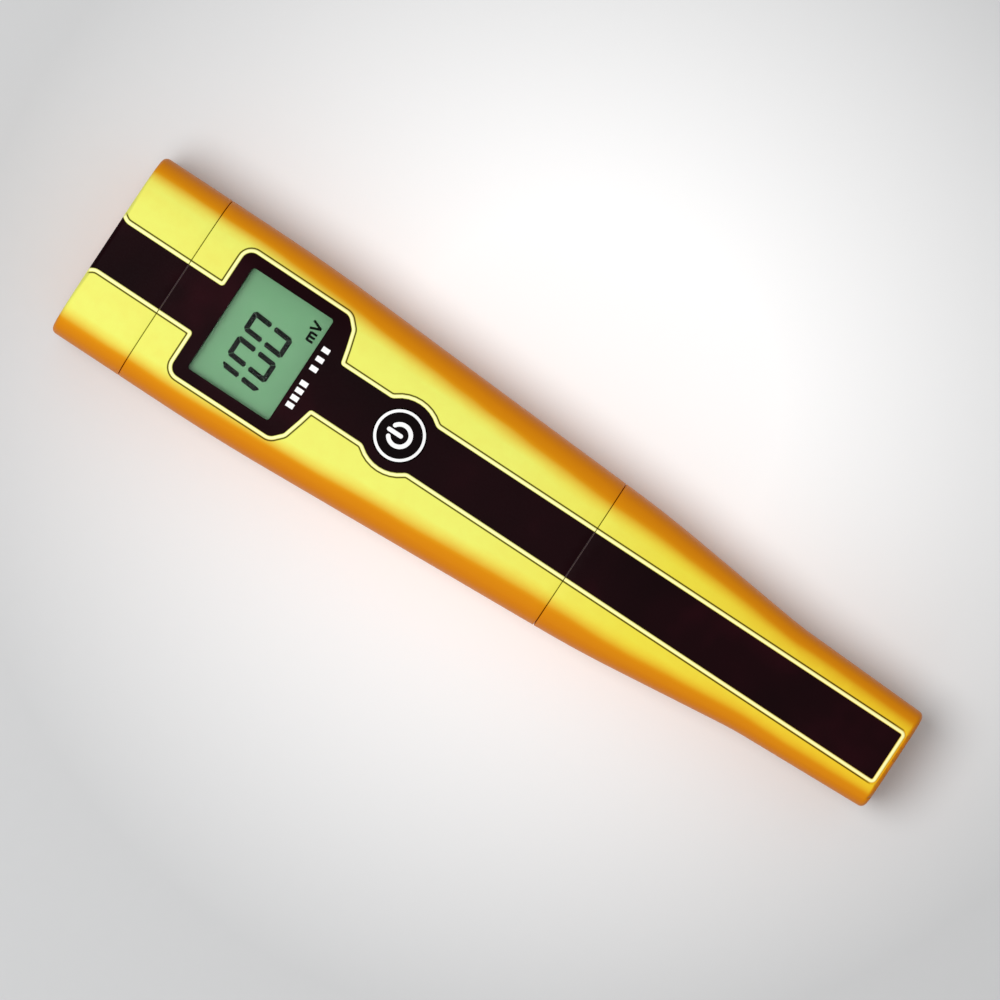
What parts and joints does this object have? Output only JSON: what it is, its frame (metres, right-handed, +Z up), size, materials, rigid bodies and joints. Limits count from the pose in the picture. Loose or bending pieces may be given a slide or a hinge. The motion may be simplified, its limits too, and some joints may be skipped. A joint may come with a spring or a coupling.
{
  "type": "digital ph meter",
  "caption": "Pen-type water tester with a front display, a power key, a pull-off battery cap at the wide end and a long pull-off cap over the electrode.",
  "frame": {"origin": "centre of the pen's box, on the surface that its back rests on", "axes": "+X along the pen from the battery end to the tip, +Z up out of the front face, +Y across"},
  "size_m": [0.19, 0.0422, 0.024],
  "materials": {
    "case_yellow": "satin moulded ABS, golden yellow",
    "label_black": "printed polyester film, near-black with a maroon tint",
    "label_paper": "matt silver-grey film",
    "window_clear": "clear acrylic",
    "lcd_glass": "green-tinted display glass",
    "lcd_green": "grey-green reflector film",
    "black_plastic": "fine-textured ABS",
    "black_rubber": "smooth silicone rubber",
    "key_black": "smooth membrane-like key",
    "natural_nylon": "natural nylon",
    "board_green": "solder mask over glass-fibre laminate",
    "chip_black": "moulded epoxy",
    "steel": "plated steel",
    "nickel_steel": "nickel-plated cell can",
    "ceramic_tan": "ceramic chip",
    "trimmer_blue": "moulded plastic",
    "brass": "plated spring brass",
    "wire_red": "PVC insulation",
    "wire_black": "PVC insulation",
    "electrode_glass": "blown sensor glass",
    "platinum": "polished platinum",
    "silver_wire": "chlorided silver wire",
    "junction_ceramic": "porous ceramic",
    "potting": "epoxy",
    "sponge": "open-cell sponge"
  },
  "bodies": {
    "meter": {"front_shell": "case_yellow", "rear_shell": "case_yellow", "body_label": "label_black", "rating_label": "label_paper", "display_window": "window_clear", "lcd_front_glass": "lcd_glass", "lcd_rear_glass": "lcd_glass", "lcd_reflector": "lcd_green", "lcd_frame": "black_plastic", "zebra_strips": "black_rubber", "switch_body": "black_plastic", "main_board": "board_green", "microcontroller": "chip_black", "amplifier_chip": "chip_black", "crystal": "steel", "chip_capacitors": "ceramic_tan", "trimmer_body": "trimmer_blue", "board_screws": "steel", "shell_screws": "steel", "battery_carrier": "black_plastic", "button_cell_1": "nickel_steel", "button_cell_2": "nickel_steel", "button_cell_3": "nickel_steel", "button_cell_4": "nickel_steel", "battery_spring": "brass", "battery_contact": "brass", "battery_wire_red": "wire_red", "battery_wire_black": "wire_black", "battery_cap_seal": "black_rubber", "protective_cap_seal": "black_rubber", "electrode_holder": "black_plastic", "electrode_seal": "black_rubber", "sensor_glass": "electrode_glass", "platinum_ring": "platinum", "reference_junction": "junction_ceramic", "reference_wire": "silver_wire", "electrode_plug": "potting", "sensor_lead": "wire_black"},
    "battery_cap": {"battery_cap": "case_yellow", "battery_cap_label": "label_black"},
    "protective_cap": {"protective_cap": "case_yellow", "protective_cap_label": "label_black", "storage_sponge": "sponge"},
    "power_key": {"power_key": "key_black", "switch_plunger": "natural_nylon"},
    "trimmer_rotor": {"trimmer_rotor": "brass"}
  },
  "joints": [
    {"name": "battery_cap_slide", "type": "slide", "parent": "meter", "child": "battery_cap", "axis": [-1, 0, 0], "range_m": [0, 0.032]},
    {"name": "protective_cap_slide", "type": "slide", "parent": "meter", "child": "protective_cap", "axis": [1, 0, 0], "range_m": [0, 0.06]},
    {"name": "power_key_press", "type": "slide", "parent": "meter", "child": "power_key", "axis": [0, 0, -1], "range_m": [0, 0.0005], "stiffness_N_per_m": 600, "springref_m": -0.0008},
    {"name": "trimmer_turn", "type": "hinge", "parent": "meter", "child": "trimmer_rotor", "pos_m": [-0.035, 0, 0.0115], "axis": [0, 0, -1], "range_deg": [-135, 135]}
  ]
}
